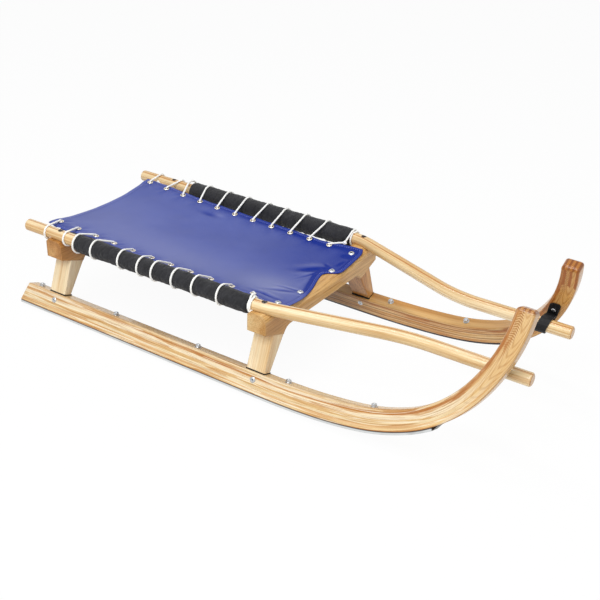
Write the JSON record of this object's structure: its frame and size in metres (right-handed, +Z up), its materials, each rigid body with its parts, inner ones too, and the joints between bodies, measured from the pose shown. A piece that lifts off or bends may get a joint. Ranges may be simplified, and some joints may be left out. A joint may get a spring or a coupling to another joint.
{
  "type": "racing sled",
  "caption": "Wooden racing sled: laminated runners on steel sweep up into horns, bowed bridges on splayed legs, bent side rails and a fabric seat laced between them.",
  "frame": {"origin": "bottom centre of the whole sled, on the ground between the runners", "axes": "+X forward towards the horns, +Y left, +Z up"},
  "size_m": [1.1322, 0.4514, 0.3091],
  "materials": {
    "runner_wood": "clear varnished ash laminate",
    "bridge_wood": "clear varnished ash laminate, warmer",
    "rail_wood": "clear varnished bent ash",
    "steel": "ground",
    "zinc": "zinc plated",
    "eyelet": "polished",
    "rubber": "matt",
    "seat_fabric": "coated, semi-gloss",
    "sleeve_fabric": "matt twill",
    "cord": "braided"
  },
  "bodies": {
    "root": {"bridge_front": "bridge_wood", "bridge_rear": "bridge_wood", "eyelets_left": "eyelet", "eyelets_right": "eyelet", "foot_bolts_left": "zinc", "foot_bolts_right": "zinc", "foot_pad_front_left": "rubber", "foot_pad_front_right": "rubber", "foot_pad_rear_left": "rubber", "foot_pad_rear_right": "rubber", "horn_strap_left": "rubber", "horn_strap_right": "rubber", "lacing_left": "cord", "lacing_right": "cord", "leg_front_left": "bridge_wood", "leg_front_right": "bridge_wood", "leg_rear_left": "bridge_wood", "leg_rear_right": "bridge_wood", "rail_screws": "zinc", "rail_sleeve_left": "sleeve_fabric", "rail_sleeve_right": "sleeve_fabric", "runner_left": "runner_wood", "runner_nuts_left": "zinc", "runner_nuts_right": "zinc", "runner_right": "runner_wood", "seat_cover": "seat_fabric", "seat_screws": "zinc", "side_rail_left": "rail_wood", "side_rail_right": "rail_wood", "steel_rail_left": "steel", "steel_rail_right": "steel", "strap_screws": "zinc"}
  },
  "joints": []
}
